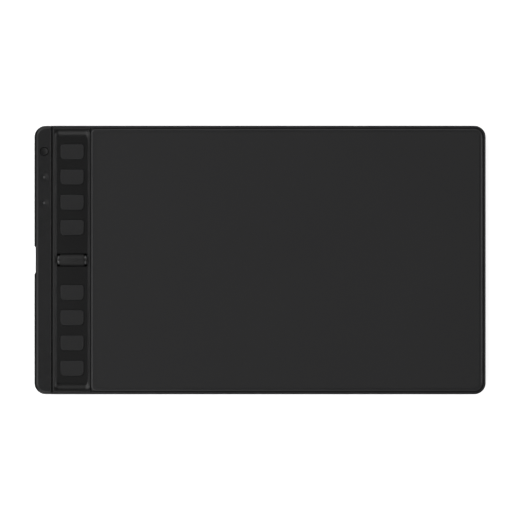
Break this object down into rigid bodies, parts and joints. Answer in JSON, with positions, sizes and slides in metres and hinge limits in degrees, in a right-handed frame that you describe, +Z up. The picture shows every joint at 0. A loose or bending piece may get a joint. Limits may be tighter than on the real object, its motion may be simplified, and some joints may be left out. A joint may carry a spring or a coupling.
{
  "type": "graphics tablet",
  "caption": "Flat pen tablet: raised drawing plate beside a sunk strip of keys with a scroll wheel, and a side rail with a round button, indicators and a cable port.",
  "frame": {"origin": "middle of the outline, on the table under the feet", "axes": "+X along the long side from the key strip towards the drawing plate's far end, +Y towards the edge away from the user, +Z up"},
  "size_m": [0.2682, 0.1596, 0.0093],
  "materials": {
    "shell_plastic": "fine matt moulding grain",
    "writing_film": "slightly rough writing surface",
    "key_plastic": "smooth satin",
    "plunger_plastic": "smooth",
    "wheel_hub": "polished end rims",
    "wheel_grip": "satin rubber",
    "foot_rubber": "matt rubber",
    "light_guide": "clear moulding",
    "led_white": "smooth",
    "steel": "bright plated",
    "board_laminate": "solder resist",
    "package_black": "moulding compound",
    "bearing_plastic": "natural, smooth",
    "component_tan": "fired ceramic",
    "socket_plastic": "natural, moulded",
    "ribbon_film": "amber film"
  },
  "bodies": {
    "housing": {"bottom_cover": "shell_plastic", "top_cover": "shell_plastic", "side_rail": "shell_plastic", "key_panel": "shell_plastic", "drawing_plate": "shell_plastic", "drawing_film": "writing_film", "foot_front_left": "foot_rubber", "foot_front_right": "foot_rubber", "foot_back_left": "foot_rubber", "foot_back_right": "foot_rubber", "indicator_lens_1": "light_guide", "indicator_lens_2": "light_guide", "indicator_leds": "led_white", "usb_shell": "steel", "housing_screws": "steel", "board_screws": "steel", "panel_screws": "steel", "shield_plate": "steel", "sensor_board": "board_laminate", "key_board": "board_laminate", "switch_bodies": "package_black", "controller_chips": "package_black", "wheel_encoder": "package_black", "usb_tongue": "package_black", "wheel_bearing": "bearing_plastic", "board_components": "component_tan", "flex_connectors": "socket_plastic", "flex_cable": "ribbon_film"},
    "key_1": {"key_1": "key_plastic", "key_plunger_1": "plunger_plastic"},
    "key_2": {"key_2": "key_plastic", "key_plunger_2": "plunger_plastic"},
    "key_3": {"key_3": "key_plastic", "key_plunger_3": "plunger_plastic"},
    "key_4": {"key_4": "key_plastic", "key_plunger_4": "plunger_plastic"},
    "key_5": {"key_5": "key_plastic", "key_plunger_5": "plunger_plastic"},
    "key_6": {"key_6": "key_plastic", "key_plunger_6": "plunger_plastic"},
    "key_7": {"key_7": "key_plastic", "key_plunger_7": "plunger_plastic"},
    "key_8": {"key_8": "key_plastic", "key_plunger_8": "plunger_plastic"},
    "group_button": {"group_key": "key_plastic", "group_key_plunger": "plunger_plastic"},
    "scroll_wheel": {"wheel_core": "wheel_hub", "wheel_tyre": "wheel_grip", "wheel_axle": "steel"}
  },
  "joints": [
    {"name": "key_1_press", "type": "slide", "parent": "housing", "child": "key_1", "axis": [0, 0, -1], "range_m": [0, 0.0005], "stiffness_N_per_m": 800, "springref_m": -0.0005},
    {"name": "key_2_press", "type": "slide", "parent": "housing", "child": "key_2", "axis": [0, 0, -1], "range_m": [0, 0.0005], "stiffness_N_per_m": 800, "springref_m": -0.0005},
    {"name": "key_3_press", "type": "slide", "parent": "housing", "child": "key_3", "axis": [0, 0, -1], "range_m": [0, 0.0005], "stiffness_N_per_m": 800, "springref_m": -0.0005},
    {"name": "key_4_press", "type": "slide", "parent": "housing", "child": "key_4", "axis": [0, 0, -1], "range_m": [0, 0.0005], "stiffness_N_per_m": 800, "springref_m": -0.0005},
    {"name": "key_5_press", "type": "slide", "parent": "housing", "child": "key_5", "axis": [0, 0, -1], "range_m": [0, 0.0005], "stiffness_N_per_m": 800, "springref_m": -0.0005},
    {"name": "key_6_press", "type": "slide", "parent": "housing", "child": "key_6", "axis": [0, 0, -1], "range_m": [0, 0.0005], "stiffness_N_per_m": 800, "springref_m": -0.0005},
    {"name": "key_7_press", "type": "slide", "parent": "housing", "child": "key_7", "axis": [0, 0, -1], "range_m": [0, 0.0005], "stiffness_N_per_m": 800, "springref_m": -0.0005},
    {"name": "key_8_press", "type": "slide", "parent": "housing", "child": "key_8", "axis": [0, 0, -1], "range_m": [0, 0.0005], "stiffness_N_per_m": 800, "springref_m": -0.0005},
    {"name": "group_button_press", "type": "slide", "parent": "housing", "child": "group_button", "axis": [0, 0, -1], "range_m": [0, 0.0005], "stiffness_N_per_m": 800, "springref_m": -0.0005},
    {"name": "wheel_turn", "type": "hinge", "parent": "housing", "child": "scroll_wheel", "pos_m": [-0.1117, 0, 0.0055], "axis": [1, 0, 0], "continuous": true}
  ]
}
